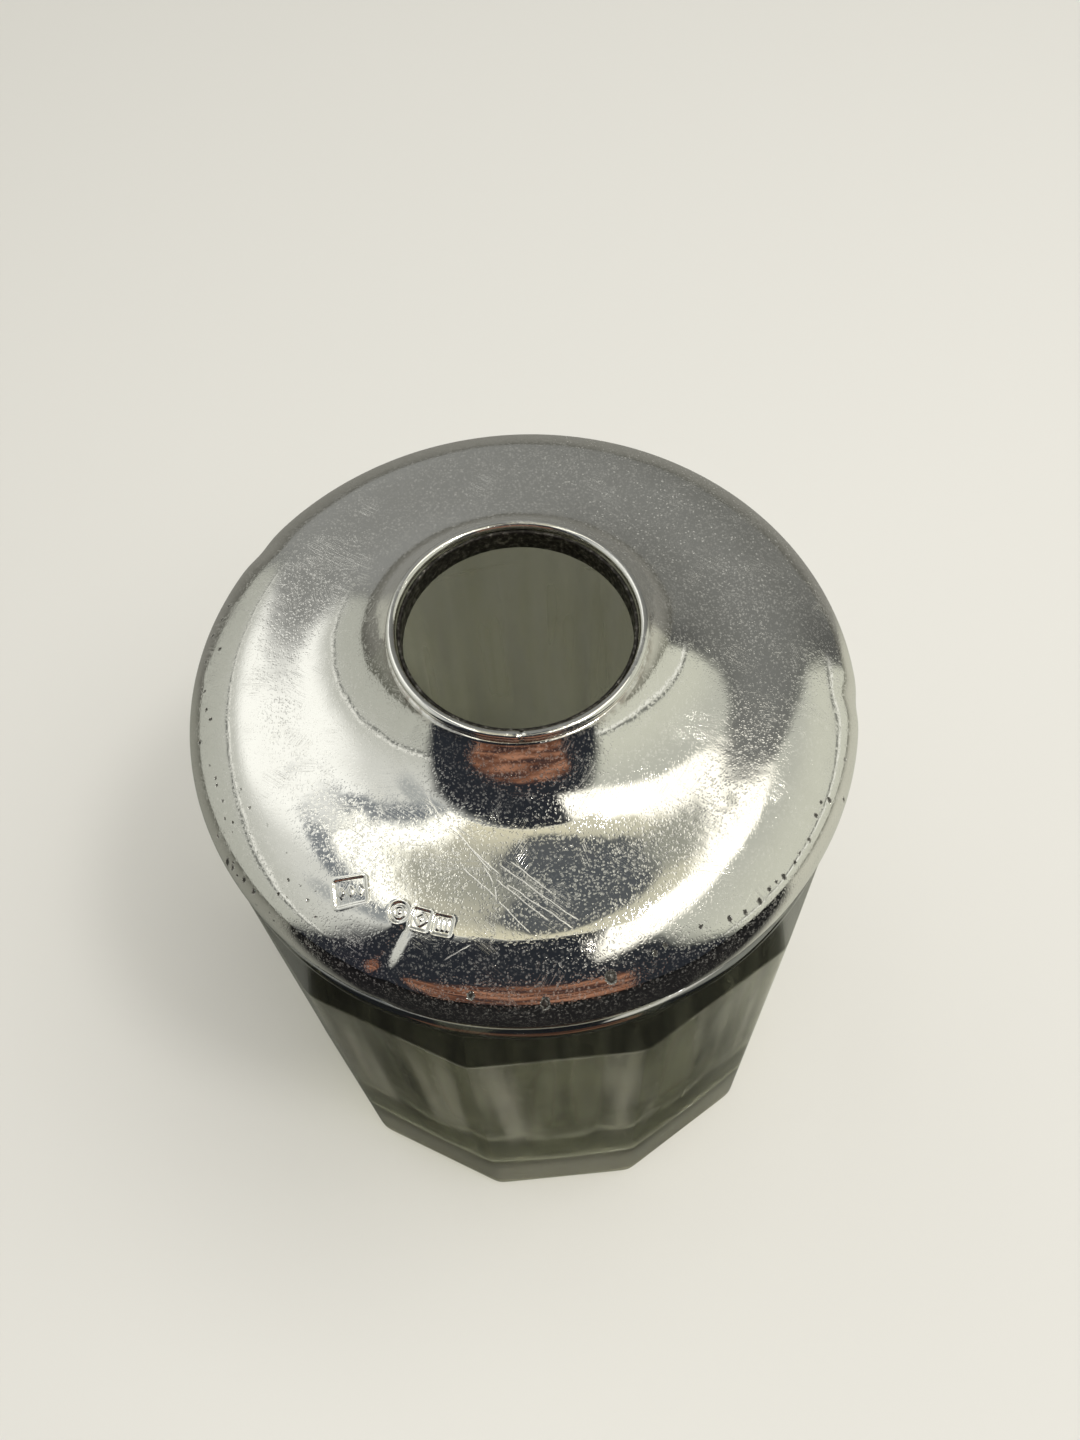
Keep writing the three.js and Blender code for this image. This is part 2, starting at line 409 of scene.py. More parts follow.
def strokes(point, degrees, across, along, low, high, seed):
    """Thin scratches running along one direction in plan."""
    placed = make(point.tree, "Mapping", {
        "Location": (seed * 3.7, seed * 1.9, seed),
        "Rotation": (0, 0, math.radians(degrees)),
        "Vector": point,
    })
    stretched = vec("MULTIPLY", placed, (along, across, 0.15))
    pattern = noise(stretched, scale=1.0, detail=2.0, distort=0.15)
    line = ramp(abs(pattern - 0.5), 0.012, 0.0)
    return line * ramp(noise(placed, scale=0.16, detail=2.0), low, high)


def all_strokes(point, rows):
    return most(*[strokes(point, *row) for row in rows])


def speckle(point, scale, size, keep, shift):
    """Round spots in a share of the cells; size is in cells, a high keep leaves few spots."""
    moved = vec("ADD", point, (shift, shift * 2, shift * 3))
    middle = cells(moved, scale)
    spot = ramp(middle, size, size * 0.35)
    pick = make(point.tree, "SeparateColor", {0: middle.also("Color")})
    return spot * ramp(pick, keep, keep + 0.25)


# ---------------------------------------------------------------- silver
def cut_lines(point):
    """Masks of the single scratches in CUTS."""
    x, y, _ = parts_of(warped(point, 0.5, scale=0.5, detail=2))
    lines = []
    for start_x, start_y, end_x, end_y in CUTS:
        length = math.hypot(end_x - start_x, end_y - start_y)
        way_x, way_y = (end_x - start_x) / length, (end_y - start_y) / length
        mid_x, mid_y = (start_x + end_x) / 2, (start_y + end_y) / 2
        along = abs(x * way_x + y * way_y + -(mid_x * way_x + mid_y * way_y))
        across = abs(x * -way_y + y * way_x + (mid_x * way_y - mid_y * way_x))
        line = ramp(across, 0.085, 0.02) * ramp(along, length / 2, length / 2 - 0.6)
        lines.append(line * 1.6)
    return lines


def pit_holes(point, spread, x, y, radius):
    """Mask of the pits: the placed ones, and scattered ones near the edge of the cover."""
    ragged = warped(point, 0.75, scale=3.2, detail=3, rough=0.7)
    flat = vec("MULTIPLY", ragged, (1, 1, 0))
    holes = []
    for pit_x, pit_y, size in PITS:
        holes.append(ramp(distance(flat, (pit_x, pit_y, 0.0)), size * 0.82, size * 0.3))
    for pit_x, pit_y, size in RINGS:
        away = distance(flat, (pit_x, pit_y, 0.0))
        raised = ramp(away, 0.0, size * 0.5, at_start=0.5)
        holes.append(ramp(away, size * 0.9, size * 0.6) * raised)
    edge = ramp(radius, 34.5, 38.0)
    sides = ramp(abs(x), 14.0, 30.0)
    few = speckle(spread, scale=0.42, size=0.14, keep=0.72, shift=5) * edge * sides
    front_left = ramp(x, -22.0, -30.0) * ramp(y, -4.0, -14.0)
    more = speckle(spread, scale=0.9, size=0.22, keep=0.55, shift=9) * edge * front_left
    return most(*holes, few, more)


def silver(name, pits=True, base=(0.93, 0.915, 0.875), rough=0.05, pit_scale=1.0, etch=1.0):
    made, tree, shader = material(name)
    point = mm_coords(tree)
    x, y, _ = parts_of(point)
    spread = warped(point, 0.55, scale=2.2, detail=3)

    # dense shallow etch pits, larger and finer
    large = speckle(spread, scale=2.1 * pit_scale, size=0.46, keep=0.42, shift=0)
    small = speckle(spread, scale=3.6 * pit_scale, size=0.50, keep=0.30, shift=11)
    patch = ramp(noise(point, scale=0.11, rough=0.55), 0.34, 0.62)
    etched = most(large, small * 0.85) * (0.62 + patch * 0.38) * etch

    # soft haze, heaviest on the back half; besides a rougher finish it paints shade, a darker
    # colour over the back half
    back = ramp(y, -6.0, 16.0)
    haze_and_back_shade = back * (0.45 + noise(point, scale=0.16, detail=4, rough=0.6) * 0.9)
    cloud = ramp(noise(point, scale=0.35, detail=5, rough=0.62), 0.36, 0.70)
    dust_area = ramp(x, -14.0, 14.0) * back
    dust = speckle(spread, scale=2.1, size=0.36, keep=0.45, shift=23) * dust_area

    scratches = all_strokes(point, SILVER_STROKES)
    if pits:
        radius = length_of(x, y)
        scratches = most(scratches, *cut_lines(point))
        holes = pit_holes(point, spread, x, y, radius)

    colour = paint(
        base,
        # painted shade: the back half coloured darker
        (haze_and_back_shade * 0.55, tuple(part * 0.86 for part in base)),
        (cloud * 0.12, (base[0] * 0.82, base[1] * 0.81, base[2] * 0.79)),
        (dust * 0.55, (0.95, 0.94, 0.90)),
        (scratches * 0.25, (0.98, 0.97, 0.95)),
    )
    if pits:
        # brown round the opening, and a violet tint on the front left shoulder
        brown = ramp(radius, 16.1, 15.3)
        brown = brown * ramp(noise(point, scale=0.9, detail=4, rough=0.6), 0.3, 0.75)
        violet = ramp(distance(point, (-20.5, -35.5, WIDEST_Z + 4.0)), 5.5, 1.5)
        colour = paint(
            colour,
            (brown * 0.6, (0.20, 0.135, 0.085)),
            (violet * 0.22, (0.62, 0.50, 0.66)),
            (holes * 0.88, (0.035, 0.032, 0.026)),
        )

    dull = most(etched * 0.15, scratches * 0.16, dust * 0.24)
    roughness = rough + cloud * 0.025 + haze_and_back_shade * 0.05 + scratches * 0.15
    roughness = most(roughness, etched * 0.20, dust * 0.34)
    if pits:
        roughness = most(roughness, holes * 0.55)

    soft = noise(point, scale=0.28, detail=2, rough=0.45)
    fine = noise(point, scale=6.0, rough=0.55)
    normal = bump(soft, distance_mm=0.03)
    normal = bump(1.0 - etched, distance_mm=0.006, normal=normal)
    normal = bump((1.0 - scratches) * 1.0 + fine * 0.22, distance_mm=0.0035, normal=normal)
    if pits:
        normal = bump(1.0 - holes, distance_mm=0.14, normal=normal)
    feed_all(shader, {
        "Base Color": colour,
        "Metallic": 1.0 - (dull + haze_and_back_shade * 0.03),
        "Roughness": maths("MINIMUM", roughness, 0.9),
        "Normal": normal,
    })
    return made


def tarnished(name):
    made, tree, shader = material(name)
    point = mm_coords(tree)
    mottle = noise(point, scale=1.6, detail=5, rough=0.65)
    crust = cells(warped(point, 0.5, centred=False, scale=3.0, detail=2), scale=1.5)
    shine = ramp(mottle, 0.52, 0.72)
    colour = paint(
        (0.020, 0.018, 0.016),
        (ramp(mottle, 0.3, 0.7), (0.075, 0.070, 0.062)),
        (shine * 0.55, (0.42, 0.40, 0.37)),
    )
    normal = bump(crust, distance_mm=0.12)
    grain = noise(point, scale=5.0, detail=4, rough=0.6)
    feed_all(shader, {
        "Base Color": colour,
        "Metallic": 0.85,
        "Roughness": ramp(mottle, 0.3, 0.75, at_start=0.55, at_end=0.3),
        "Normal": bump(grain, distance_mm=0.05, normal=normal),
    })
    return made


# ---------------------------------------------------------------- glass
def glass(name):
    made, tree, shader = material(name)
    point = mm_coords(tree)
    x, y, z = parts_of(point)
    smear = noise(vec("MULTIPLY", point, (0.5, 0.5, 0.10)), scale=1.0, detail=4, rough=0.6)
    across = length_of(x, y)

    # painted shade: the shoulder and ring are coloured dark for the dark of the cover above them
    top = ramp(z, 70.9 + LIFT, 72.2 + LIFT) * ramp(z, 83.0 + LIFT, 82.3 + LIFT)
    top = top * ramp(across, 35.0, 37.0)
    tint = paint(
        (0.93, 0.935, 0.80),
        (ramp(smear, 0.35, 0.7), (0.91, 0.91, 0.74)),
        # painted shade on the shoulder and ring
        (top * 0.94, (0.035, 0.037, 0.028)),
    )

    # milkiness, beyond a faint even haze, paints light: pale upright streaks, a light band at the
    # foot, and a light line at the edge under the shoulder
    upright = make(tree, "CombineXYZ", {0: x * 0.20, 1: y * 0.20, 2: z * 0.010})
    streak = ramp(noise(upright, scale=1.0, detail=1.5), 0.44, 0.68)
    high = ramp(z, 30.0, 44.0) * ramp(z, 79.0, 62.0, at_start=0.45)
    foot = ramp(z, 24.0, 11.0) * ramp(across, 38.0, 39.0)
    rib = ramp(abs(z - (RIB_Z + LIFT)), 0.5, 0.15)
    rib = rib * ramp(noise(point, scale=0.12, detail=2), 0.42, 0.55)
    # painted light: streaks, foot and edge made pale with milkiness
    milk_and_painted_light = 0.03 + streak * high * 0.30 + foot * 0.36 + rib * 0.22
    milk_and_painted_light = milk_and_painted_light * ramp(top, 0.9, 0.5, at_start=0.35)

    speck_point = warped(point, 0.6, centred=False, scale=2.0, detail=2)
    specks = ramp(cells(speck_point, scale=0.8), 0.16, 0.05)
    lines = all_strokes(point, GLASS_STROKES)
    roughness = ramp(top, 0.2, 0.8, at_start=0.085, at_end=0.03)
    roughness = roughness + ramp(smear, 0.45, 0.75) * 0.05 + specks * 0.10 + lines * 0.12
    ring = ramp(z, 80.7 + LIFT, 81.0 + LIFT) * ramp(across, 39.6, 40.0)
    wavy = noise(vec("MULTIPLY", point, (1.0, 1.0, 0.35)), scale=0.14, detail=2, rough=0.4)
    normal = bump(wavy, distance_mm=0.22)
    feed_all(shader, {
        "Base Color": tint,
        "Transmission Weight": 1.0 - milk_and_painted_light,
        "IOR": 1.51,
        "Roughness": roughness,
        "Coat Weight": top * 0.12 + ring * 0.88,
        "Coat IOR": 3.2,
        "Coat Roughness": 0.03,
        "Normal": bump(1.0 - most(specks, lines), distance_mm=0.008, normal=normal),
    })

    # rays from lamps pass, so that what is inside and behind the glass is lit
    shadow = make(tree, "LightPath", {}, "Is Shadow Ray")
    clear = make(tree, "BsdfTransparent", {"Color": (0.84, 0.85, 0.79)})
    output = next(node for node in tree.nodes if node.type == "OUTPUT_MATERIAL")
    feed(mix_shaders(shadow, Signal(tree, shader), clear), output.inputs["Surface"])
    return made


# ---------------------------------------------------------------- glass jar
def panel_radius(theta, corner, ease):
    """Radius of the panelled outline over its corner radius, with the corners eased."""
    half = math.pi / PANELS
    from_corner = np.mod(theta - PANEL_TURN + half, 2 * half) - half
    from_middle = half - np.abs(from_corner)
    radius = corner * math.cos(half) / np.cos(from_middle)
    top = corner - ease
    return top - CORNER_BLUNTING * np.log(np.exp(-(radius - top) / CORNER_BLUNTING) + 1.0)


def build_jar():
    half = 180.0 / PANELS
    stops = np.array(PANEL_STOPS + [half] + [2 * half - stop for stop in PANEL_STOPS[:0:-1]])
    degrees = np.concatenate([stops + 2 * half * i for i in range(PANELS)])
    theta = (np.radians(degrees) + PANEL_TURN)[None, :]

    table = np.array(JAR_LINE, float)
    table[table[:, 1] > 40, 1] += LIFT
    line = rounded(table[:, :3], table[:, 3], steps=5)
    # more rows on long straight runs
    rows = [line[0]]
    for start, end in zip(line[:-1], line[1:]):
        gap = np.linalg.norm((end - start)[:2])
        count = 1 if gap < 3 else int(math.ceil(gap / 3.2))
        rows += [start + (end - start) * (k + 1) / count for k in range(count)]
    line = np.array(rows)
    corner, z, share = line[:, :1], line[:, 1:2], line[:, 2:]

    ease = 0.13 + 0.03 * np.sin(5 * theta + z * 0.02)
    panelled = panel_radius(theta, corner, np.minimum(ease, corner * 0.01))
    radius = share * panelled + (1 - share) * corner
    # the rows from the top rim on are the inner wall and floor
    inside = np.zeros((len(line), 1))
    inside[np.argmax(line[:, 1] > JAR_TOP - 0.1 + LIFT):] = 1
    wall = (z > 3) & (z < 71 + LIFT)
    uneven = waves(theta, z, 3, 8, 1, 7, 60) * 0.05 * share * wall
    hollow = waves(theta, z, 4, 8, 1, 6, 50) * 0.12 * inside * ((z > 14) & (z < 80))
    radius = radius - np.abs(uneven) + hollow * 0.6
    points = np.stack([radius * np.cos(theta), radius * np.sin(theta), z + 0 * theta], -1)
    return grid("glass_body", points, capped=True)


# ---------------------------------------------------------------- cover
def motif_edge(motif, x, y):
    """Distance-like field of a motif, negative inside it."""
    if motif == "lozenges":  # three in a row
        return np.min([np.abs(x - middle) * 1.25 + np.abs(y) * 0.8 - 0.52
                       for middle in (-1.12, 0.0, 1.12)], axis=0)
    if motif == "ring":  # with a dot
        away = np.hypot(x, y)
        return np.minimum(np.abs(away - 0.62) - 0.11, away - 0.2)
    if motif == "square":  # a frame set on its corner, with a dot
        away = np.abs(x) + np.abs(y)
        return np.minimum(np.abs(away - 0.72) - 0.12, away - 0.2)
    # three upright bars
    return np.min([np.maximum(np.abs(x - middle) - 0.12, np.abs(y) - 0.6)
                   for middle in (-0.55, 0.0, 0.55)], axis=0)


def punched(x, y):
    """Push in mm of the four punched marks with their raised motifs."""
    push = np.zeros_like(x)
    rounding = 0.35
    for mark_x, mark_y, turn, half_x, half_y, motif in MARKS:
        cos, sin = math.cos(math.radians(turn)), math.sin(math.radians(turn))
        own_x = (x - mark_x) * cos + (y - mark_y) * sin
        own_y = -(x - mark_x) * sin + (y - mark_y) * cos
        near = (np.abs(own_x) < half_x + 1) & (np.abs(own_y) < half_y + 1)
        if motif == "ring":
            edge = np.hypot(own_x, own_y) - half_x
        else:
            over_x = np.abs(own_x) - (half_x - rounding)
            over_y = np.abs(own_y) - (half_y - rounding)
            edge = (np.hypot(np.maximum(over_x, 0), np.maximum(over_y, 0))
                    + np.minimum(np.maximum(over_x, over_y), 0) - rounding)
        field = step(-edge, -0.02, 0.14)
        lip = np.exp(-((edge - 0.16) / 0.12) ** 2) * 0.03
        relief = step(-motif_edge(motif, own_x, own_y), -0.06, 0.07)
        push += near * (-0.17 * field + 0.13 * relief * field + lip)
    return push


def dents(x, y):
    """Push in mm of the dents, negative is inwards."""
    # a drop-shaped dent outward of the marks, wider at its outer end
    start_x, start_y, run_x, run_y = -15.1, -32.8, -3.1, -3.5
    f = ((x - start_x) * run_x + (y - start_y) * run_y) / (run_x ** 2 + run_y ** 2)
    f = np.clip(f, 0, 1)
    away = np.hypot(x - start_x - f * run_x, y - start_y - f * run_y)
    total = -0.24 * np.exp(-(away / (0.6 + 0.9 * f)) ** 2)
    for dent_x, dent_y, radius, depth in DENTS:
        total -= depth * np.exp(-((x - dent_x) ** 2 + (y - dent_y) ** 2) / radius ** 2)
    return total


def build_cover():
    length, at = spline_of(DOME)
    probe = np.linspace(0, length, 4000)
    probe_radius = at(probe)[:, 0]
    upper = slice(0, np.argmax(probe_radius) + 1)
    # dense rows where the marks are
    above, before, after = np.interp([26.0, 30.6, 37.4], probe_radius[upper], probe[upper])
    along = np.concatenate([
        np.arange(0, above, 0.42), np.arange(above, before, 0.62),
        np.arange(before, after, 0.115), np.arange(after, length - 0.2, 0.42), [length],
    ])
    outer = at(along)
    outer_normals = normals_of(outer)
    inner_along = np.linspace(0, length, 30)
    inner = at(inner_along)
    inner_normals = normals_of(inner)
    inner = inner - inner_normals * SHEET
    inner[0, 1], inner[-1, 1] = outer[0, 1], outer[-1, 1]

    # dense columns across the marks
    dense_from, dense_to = 224.5, 256.5
    theta = np.radians(np.concatenate([
        np.arange(dense_from, dense_to, 0.18), np.arange(dense_to, dense_from + 360, 1.0)]))
    round_, down = theta[None, :], along[:, None]
    x, y, _ = np.moveaxis(turned(outer, theta, outer_normals), -1, 0)
    hold = step(down, 0.0, 2.0) * step(length - down, 0.0, 2.0)  # none at the cut edges
    push = (
        hold * (0.035 * waves(round_, down, 11, 8, 1, 6, 30)
                + 0.010 * waves(round_, down, 12, 10, 6, 17, 9) + dents(x, y))
        + punched(x, y) + 0.012 * waves(round_, down, 13, 6, 2, 7, 20)
    )
    outside = turned(outer, theta, outer_normals, push)
    inner_push = 0.02 * waves(round_, inner_along[:, None], 14, 6, 1, 5, 20)
    inside = turned(inner, theta, inner_normals, inner_push)
    for block in (outside, inside):
        block[..., 2] += WIDEST_Z
    # the cut edges, each with a middle row
    low_edge = (outside[-1] + inside[-1]) / 2
    low_edge[:, 2] -= 0.02
    top_edge = (outside[0] + inside[0]) / 2
    top_edge[:, 2] += 0.01
    return grid("cover", np.concatenate([outside, low_edge[None], inside[::-1], top_edge[None]]))


# ---------------------------------------------------------------- wires and rings
def wire_ring(name, ring_radius, z, radius, cols, around, seed, joint=None):
    """A ring of round wire; joint is the angle in degrees of a groove with a bead beside it."""
    rough = 0.012
    theta = angles(cols)[None, :]
    phi = (np.arange(around) * 2 * math.pi / around)[:, None]
    wire = radius * (1 + rough * waves(theta, phi * 2, seed, 9, 3, 22, 9)
                     + rough * 0.6 * waves(theta, phi * 2, seed + 50, 9, 20, 60, 9))
    if joint is not None:
        off = (np.degrees(theta) - joint + 180) % 360 - 180
        groove = np.exp(-(off / 0.65) ** 2)
        bead = np.exp(-((off + 3.6) / 2.4) ** 2)
        wire = wire * (1 - 0.34 * groove + 0.10 * bead * (1 + 0.5 * np.sin(phi * 2 + 1)))
    out = ring_radius + wire * np.cos(phi)
    points = [out * np.cos(theta), out * np.sin(theta), z + wire * np.sin(phi)]
    return grid(name, np.stack(points, -1))


def section_ring(name, corners, spacing, seed, amount, cols, waves_high):
    """A closed section of (radius, height) corners turned into a slightly uneven ring."""
    corners = [np.array(corner, float) for corner in corners]
    line = []
    for start, end in zip(corners, corners[1:] + corners[:1]):
        count = max(1, int(round(np.linalg.norm(end - start) / spacing)))
        line += [start + (end - start) * k / count for k in range(count)]
    line = np.array(line)
    out = line - line.mean(0)
    out /= np.maximum(np.linalg.norm(out, axis=1)[:, None], 1e-9)
    along = np.r_[0, np.cumsum(np.hypot(*np.diff(line, axis=0).T))]
    theta = angles(cols)
    push = amount * waves(theta[None, :], along[:, None], seed, 12, 3, waves_high, 3.0)
    return grid(name, turned(line, theta, out, push))


def build_lining():
    low, high = [corner.z for corner in cad_box("opening_sleeve")]
    outer, inner, bevel = 14.08, 13.62, 0.12
    corners = [(outer, low), (outer, high - bevel), (13.95, high), (13.75, high),
               (inner, high - bevel), (inner, low)]
    return section_ring("opening_lining", corners, spacing=0.25, seed=31, amount=0.02,
                        cols=420, waves_high=60)


def build_band():
    low, high = [corner.z for corner in cad_box("lid_skirt_band")]
    outer, inner, bevel, gap = 39.68, 39.15, 0.1, 0.05
    corners = [(outer, low + gap), (outer, high - bevel), (39.55, high), (39.3, high),
               (inner, high - bevel), (inner, low + 0.25), (39.35, low + gap)]
    return section_ring("cover_band", corners, spacing=0.8, seed=41, amount=0.012,
                        cols=240, waves_high=9)


def hand_over(obj, look, cad_name, rides="lid"):
    obj.data.materials.append(look)
    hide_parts(cad_name)
    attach(obj, rides)


def build_jar_and_lid():
    glass_look = glass("glass")
    silver_look = silver("silver")
    wire_look = silver("wire_silver", pits=False, rough=0.045, pit_scale=1.4, etch=0.45)
    worn_look = silver("worn_silver", pits=False, base=(0.86, 0.845, 0.80), rough=0.13)
    dark_look = tarnished("tarnished_silver")

    hand_over(build_jar(), glass_look, "glass_jar", rides="jar")
    hand_over(build_cover(), silver_look, "lid_dome")
    rim = wire_ring("opening_wire", ring_radius=14.75, z=WIDEST_Z + 16.55, radius=0.58,
                    cols=420, around=22, seed=21, joint=268.2)
    hand_over(rim, wire_look, "opening_rim_wire")
    hand_over(build_lining(), dark_look, "opening_sleeve")
    hand_over(build_band(), worn_look, "lid_skirt_band")
    foot_low, foot_high = cad_box("skirt_foot_wire")
    foot = wire_ring("cover_foot_wire", ring_radius=40.25, z=(foot_low.z + foot_high.z) / 2,
                     radius=0.49, cols=480, around=18, seed=51)
    hand_over(foot, worn_look, "skirt_foot_wire")


# ---------------------------------------------------------------- world
# A direction is given by east and north, the degrees from straight up towards +X and +Y;
# down is the whole angle from straight up.
PALE = (0.60, 0.59, 0.57)
DEGREES = 57.29578  # in a radian


def line_side(east, north, normal_x, normal_y, on_x, on_y):
    """Signed distance in degrees from a line through (on_x, on_y)."""
    size = math.hypot(normal_x, normal_y)
    offset = -(normal_x * on_x + normal_y * on_y) / size
    return east * (normal_x / size) + north * (normal_y / size) + offset


def ellipse(east_off, north_off, half_east, half_north):
    """Distance from the centre of an ellipse, 1 on its outline."""
    return length_of(east_off * (1 / half_east), north_off * (1 / half_north))


def walls(colour, east, north, down, wobble):
    """The colour with the left, right and back walls, and the masks of the left and right."""
    left = ramp(line_side(east, north, -0.751, -0.661, -14.0, 33.0) + wobble * 0.5, -4, 4)
    left = left * ramp(north + east * -0.26 + wobble * 1.2, -22, -12) * ramp(east, 4, -6)
    left_tone = paint(
        (0.68, 0.69, 0.65),
        (ramp(down, 40, 78), (0.45, 0.46, 0.41)),
        (ramp(north, 2, 24) * ramp(down, 60, 42), (1.05, 1.06, 1.01)),
        (ramp(down, 85, 125), (0.22, 0.225, 0.21)),
    )
    right = ramp(line_side(east, north, 0.277, -0.961, 14.0, 22.0), -4, 4)
    right = right * ramp(line_side(east, north, 0.419, 0.908, 30.0, -38.0) + wobble, -7, 4)
    right = right * ramp(east, 8, 16)
    right_tone = paint(
        (0.50, 0.51, 0.45),
        (ramp(down, 38, 70), (0.60, 0.61, 0.52)),
        (ramp(down, 95, 150), (0.36, 0.37, 0.33)),
    )
    from_right = line_side(east, north, -0.277, 0.961, 14.0, 22.0)
    from_left = line_side(east, north, 0.751, 0.661, -14.0, 33.0) + wobble * -0.5
    back = ramp(from_right, -4, 4) * ramp(from_left, -4, 4)
    back_tone = paint(
        (0.25, 0.255, 0.245),
        (ramp(east, -30, 40), (0.155, 0.158, 0.148)),
        (ramp(from_right, 26, 4) * ramp(east, 36, 74), (0.095, 0.097, 0.092)),
    )
    colour = paint(colour, (left, left_tone), (right, right_tone), (back, back_tone))
    return colour, left, right


def brown_front(colour, direction, east, north, wobble):
    """Warm brown stripes low in front."""
    stretched = vec("MULTIPLY", direction, (1.5, 1.5, 9.0))
    stripes = noise(stretched, scale=1.6, rough=0.55)
    brown = ramp(north + wobble, -54, -57) * ramp(north, -104, -88)
    brown = brown * ramp(east + wobble, -45, -41) * ramp(east + north * 0.35, 8, 3)
    brown = brown * ramp(stripes, 0.38, 0.5, at_start=0.25)
    copper = paint((0.13, 0.055, 0.033), (ramp(stripes, 0.46, 0.66), (0.42, 0.21, 0.13)))
    return paint(colour, (brown, copper))


def overhead(colour, east, north, wobble):
    """Bright and dark shapes round straight up."""
    # white lobe, front right
    lobe = most(ramp(ellipse(east - 10.0, north + 13.0, 24.0, 30.0), 1.10, 0.88),
                ramp(ellipse(east - 12.0, north + 8.0, 23.0, 33.0), 1.0, 0.88))
    open_side = most(ramp(north, -20.5, -18.5), ramp(east, 11.0, 13.0))
    lobe = lobe * open_side * ramp(east, -14, 4)

    # cream panel with a white border on its left
    edge = line_side(east, north, 0.971, -0.239, -21.7, -19.0)
    inside = ramp(north, -20.5, -18.8) * ramp(north, 25, 21)
    bent = edge + most(14.0 - north, 0.0) * 0.08
    white = inside * ramp(bent, -2.0, -0.6) * ramp(east, 16, 4)
    cream = inside * ramp(edge, 1.6, 4.6) * ramp(east + most(north, 5.0) * 0.35, 20.5, 17)
    cream_tone = paint(
        (0.70, 0.665, 0.50),
        (ramp(north, -20, 6), (0.47, 0.46, 0.375)),
        (ramp(north, 13, 19) * ramp(east, -10, -5), (0.33, 0.335, 0.285)),
        (ramp(east, 7, 12) * ramp(north, 18, 12), (0.60, 0.585, 0.46)),
    )

    # curved blue-grey streak and a grey spot left of the panel
    curve = north * 0.33 + north * north * 0.0078 + -25.6
    streak = ramp(abs(east - curve) / (north * -0.07 + 3.9), 1.25, 0.6)
    streak = streak * ramp(north, -24, -16) * ramp(north, 27, 20)
    grey = ramp(ellipse(east + 37.0, north + 14.0, 13.0, 7.0) + wobble * 0.08, 1.2, 0.5)

    # dark oval close to straight up
    oval = ellipse(east - (north * 0.04 + 2.4), north - 4.0, 6.8, 18.5)
    oval = ramp(oval + wobble * 0.06, 1.10, 0.84)
    return paint(
        colour,
        (lobe, (1.5, 1.46, 1.30)),
        (white, (1.7, 1.68, 1.5)),
        (cream, cream_tone),
        (streak * 0.9, (0.13, 0.15, 0.175)),
        (grey * 0.8, (0.33, 0.35, 0.35)),
        (oval * 0.92, (0.06, 0.07, 0.085)),
    )


def seam_lines(dark_off, lit_off, wall, east, start, end):
    """Masks of the dark and the lit line of a seam in a side wall."""
    dark = ramp(abs(dark_off), 1.5, 0.5) * wall * ramp(east, start, end)
    lit = ramp(abs(lit_off), 1.6, 0.4) * wall * ramp(east, start, end)
    return dark, lit


def build_world():
    world = bpy.data.worlds.new("light_tent")
    bpy.context.scene.world = world
    world.use_nodes = True
    tree = world.node_tree
    tree.nodes.clear()
    direction = make(tree, "TexCoord", {}, "Generated")
    x, y, z = parts_of(direction)
    flat = most(length_of(x, y), 1e-4)
    down = maths("ARCCOSINE", z) * DEGREES
    wobble = (noise(direction, scale=2.6, detail=2) - 0.5) * 6.0
    east = down * x / flat
    north = down * y / flat

    colour, left, right = walls((0.020, 0.023, 0.029), east, north, down, wobble)
    colour = brown_front(colour, direction, east, north, wobble)
    colour = overhead(colour, east, north, wobble)
    seam = down - (67.0 + north * -0.035)
    left_dark, left_lit = seam_lines(seam, seam + 2.4, left, east, -20, -34)
    seam = down - 76.5
    right_dark, right_lit = seam_lines(seam, seam - 2.4, right, east, 20, 34)

    camera_ray = make(tree, "LightPath", {}, "Is Camera Ray")
    within = ramp(camera_ray.also("Transmission Depth"), 0.4, 0.6)
    colour = paint(
        colour,
        (most(left_dark, right_dark) * 0.85, (0.10, 0.105, 0.10)),
        (most(left_lit, right_lit) * 0.7, (1.0, 1.0, 0.94)),
        (ramp(down, 112, 150), (0.05, 0.05, 0.048)),  # below the horizon
        (within * 0.55, (0.20, 0.20, 0.165)),  # through the glass
        (camera_ray, PALE),
    )
    background = make(tree, "Background", {"Color": colour})
    feed(background, tree.nodes.new("ShaderNodeOutputWorld").inputs["Surface"])


# ---------------------------------------------------------------- floor
def floor_look():
    """Plain to the camera, with its own tones for reflections, glass and bounced light."""
    made = bpy.data.materials.new("floor")
    made.use_nodes = True
    tree = made.node_tree
    tree.nodes.clear()
    camera_ray = make(tree, "LightPath", {}, "Is Camera Ray")
    place = make(tree, "NewGeometry", {}, "Position")
    x, y, _ = parts_of(place)

    # mirrored tones: sides, behind and, darkest, in front; places in metres
    behind = ramp(y - abs(x) * 0.55, 0.0, 0.05)
    sides = paint((0.25, 0.255, 0.235), (ramp(x, -0.04, 0.04), (0.47, 0.475, 0.43)))
    ahead = y * -1.0 + abs(x) * -0.45
    mirror = paint(
        sides,
        (behind, (0.22, 0.22, 0.21)),
        (ramp(ahead, -0.012, 0.028), (0.012, 0.012, 0.013)),
    )
    outside = ramp(camera_ray.also("Transmission Depth"), 0.6, 0.4)
    tone = paint(
        (0.15, 0.15, 0.142),
        (camera_ray.also("Is Diffuse Ray"), (0.62, 0.61, 0.57)),
        (camera_ray.also("Is Glossy Ray") * outside, mirror),
    )
    other = make(tree, "BsdfDiffuse", {"Color": tone})
    seen = make(tree, "BsdfDiffuse", {"Color": (0.74, 0.73, 0.71)})

    # far away the floor turns into the plain backdrop
    far = ramp(vec("LENGTH", place, out=1), 0.45, 1.6) * camera_ray
    glow = make(tree, "Emission", {"Color": PALE})
    surface = mix_shaders(far, mix_shaders(camera_ray, other, seen), glow)
    feed(surface, tree.nodes.new("ShaderNodeOutputMaterial").inputs["Surface"])
    return made


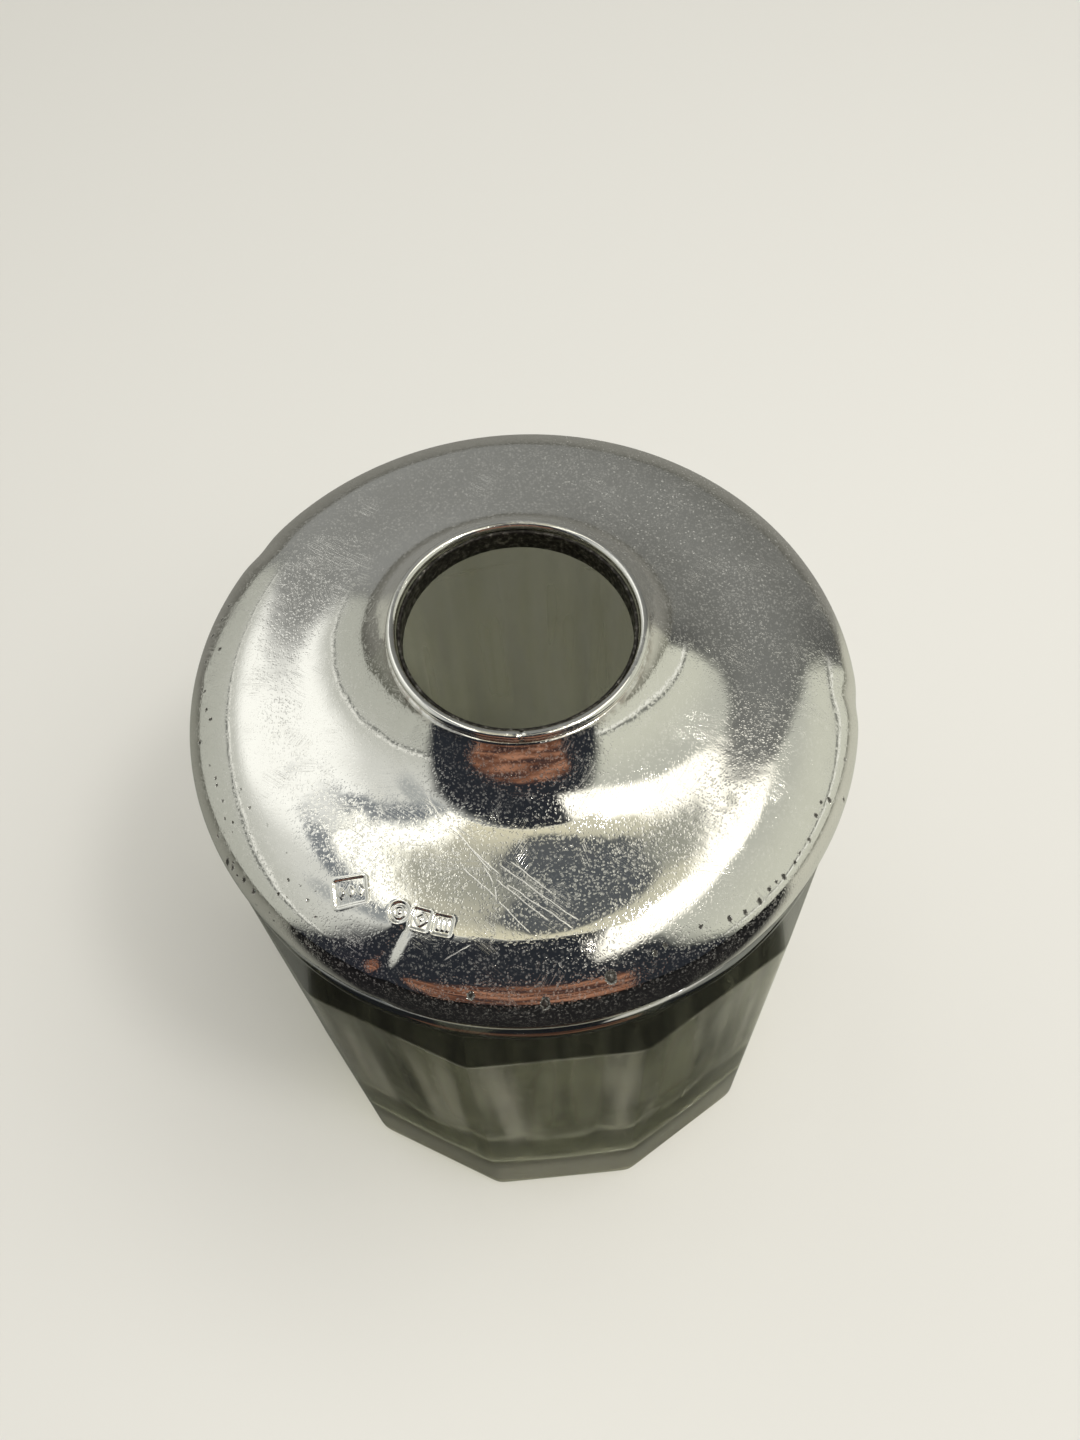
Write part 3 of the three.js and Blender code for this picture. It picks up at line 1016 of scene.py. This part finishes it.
def build_floor():
    size = 4.0
    corners = [(-size, -size, 0), (size, -size, 0), (size, size, 0), (-size, size, 0)]
    mesh = bpy.data.meshes.new("floor")
    mesh.from_pydata(corners, [], [(0, 1, 2, 3)])
    mesh.update()
    obj = bpy.data.objects.new("floor", mesh)
    obj.location.z = -0.0001
    bpy.context.scene.collection.objects.link(obj)
    mesh.materials.append(floor_look())


# ---------------------------------------------------------------- lights and camera
def area_light(name, place, aim, **settings):
    """An area light hidden from the camera and from rays through the glass."""
    data = bpy.data.lights.new(name, "AREA")
    for key, value in settings.items():
        setattr(data, key, value)
    obj = bpy.data.objects.new(name, data)
    obj.location = place
    obj.rotation_euler = aim.to_track_quat("-Z", "Y").to_euler()
    obj.visible_camera = False
    obj.visible_transmission = False
    bpy.context.scene.collection.objects.link(obj)
    return obj


def build_lights():
    place = Vector((0.28, -0.12, 1.0))
    soft = area_light("soft_light", place, -place, shape="RECTANGLE", size=0.9, size_y=0.9,
                      energy=7.0, color=(1.0, 0.98, 0.94))
    soft.visible_glossy = False

    # a small lamp that shows as a highlight; degrees from straight up to +X and +Y
    east, north = 23, -14
    tilt = math.hypot(east, north)
    sin = math.sin(math.radians(tilt))
    way = Vector((sin * (east / tilt), sin * (north / tilt), math.cos(math.radians(tilt))))
    area_light("lamp", way * 0.8 + Vector((0, 0, WIDEST_Z * MM)), -way, shape="DISK",
               size=0.11, energy=1.1, color=(1.0, 0.98, 0.93))


def turn(degrees, first, second):
    """Matrix that turns the first axis towards the second."""
    cos, sin = math.cos(math.radians(degrees)), math.sin(math.radians(degrees))
    matrix = np.eye(3)
    matrix[first, first] = matrix[second, second] = cos
    matrix[first, second], matrix[second, first] = -sin, sin
    return matrix


def build_camera():
    elevation = math.radians(59.2)
    distance_m = 0.15626  # from the axis at the widest ring of the cover
    pan, tilt, roll = -0.806, 1.045, -4.412  # degrees off the view to that point
    sin, cos = math.sin(elevation), math.cos(elevation)
    right, up, back = np.array([1.0, 0, 0]), np.array([0, sin, cos]), np.array([0, -cos, sin])
    # rows: right, down and forward of the turned camera
    axes = turn(tilt, 1, 2) @ turn(pan, 2, 0) @ turn(roll, 0, 1) @ np.array([right, -up, -back])
    pose = np.eye(4)
    pose[:3, 0], pose[:3, 1], pose[:3, 2] = axes[0], -axes[1], -axes[2]
    pose[:3, 3] = np.array([0, 0, WIDEST_Z * MM]) + distance_m * back

    data = bpy.data.cameras.new("camera")
    data.sensor_width, data.sensor_fit, data.lens = 36.0, "AUTO", 30.625
    data.clip_start, data.clip_end = 0.005, 20.0
    obj = bpy.data.objects.new("camera", data)
    obj.matrix_world = Matrix(pose.tolist())
    bpy.context.scene.collection.objects.link(obj)
    bpy.context.scene.camera = obj


build_jar_and_lid()
bpy.context.scene.view_settings.view_transform = "Standard"
build_world()
build_floor()
build_lights()
build_camera()
